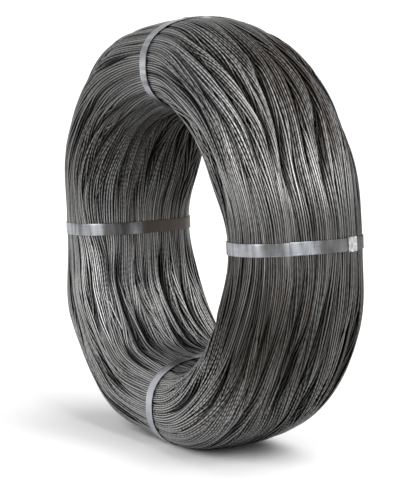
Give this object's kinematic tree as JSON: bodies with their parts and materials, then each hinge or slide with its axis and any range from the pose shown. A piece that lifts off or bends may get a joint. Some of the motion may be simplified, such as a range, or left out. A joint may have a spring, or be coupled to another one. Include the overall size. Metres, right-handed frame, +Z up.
{
  "type": "coil of wire rod",
  "caption": "Thick ring-shaped coil of dark steel wire rod, held in a tight bundle by flat steel straps crimped with sealed clips, standing on its rim.",
  "frame": {"origin": "on the floor, below the middle of the standing coil", "axes": "+Z up; +Y along the coil's own axis, from the front end to the back end; +X to the right as seen from the front end"},
  "size_m": [0.6723, 0.2208, 0.6628],
  "materials": {
    "rod_steel": "dark drawn steel with a thin oxide, semi-gloss",
    "strap_steel": "bright galvanised strapping, satin",
    "seal_steel": "galvanised sheet, satin"
  },
  "bodies": {
    "root": {"rod_winding": "rod_steel", "strap_right": "strap_steel", "strap_top": "strap_steel", "strap_left": "strap_steel", "strap_bottom": "strap_steel", "seal_right": "seal_steel", "seal_top": "seal_steel", "seal_left": "seal_steel", "seal_bottom": "seal_steel"}
  },
  "joints": []
}
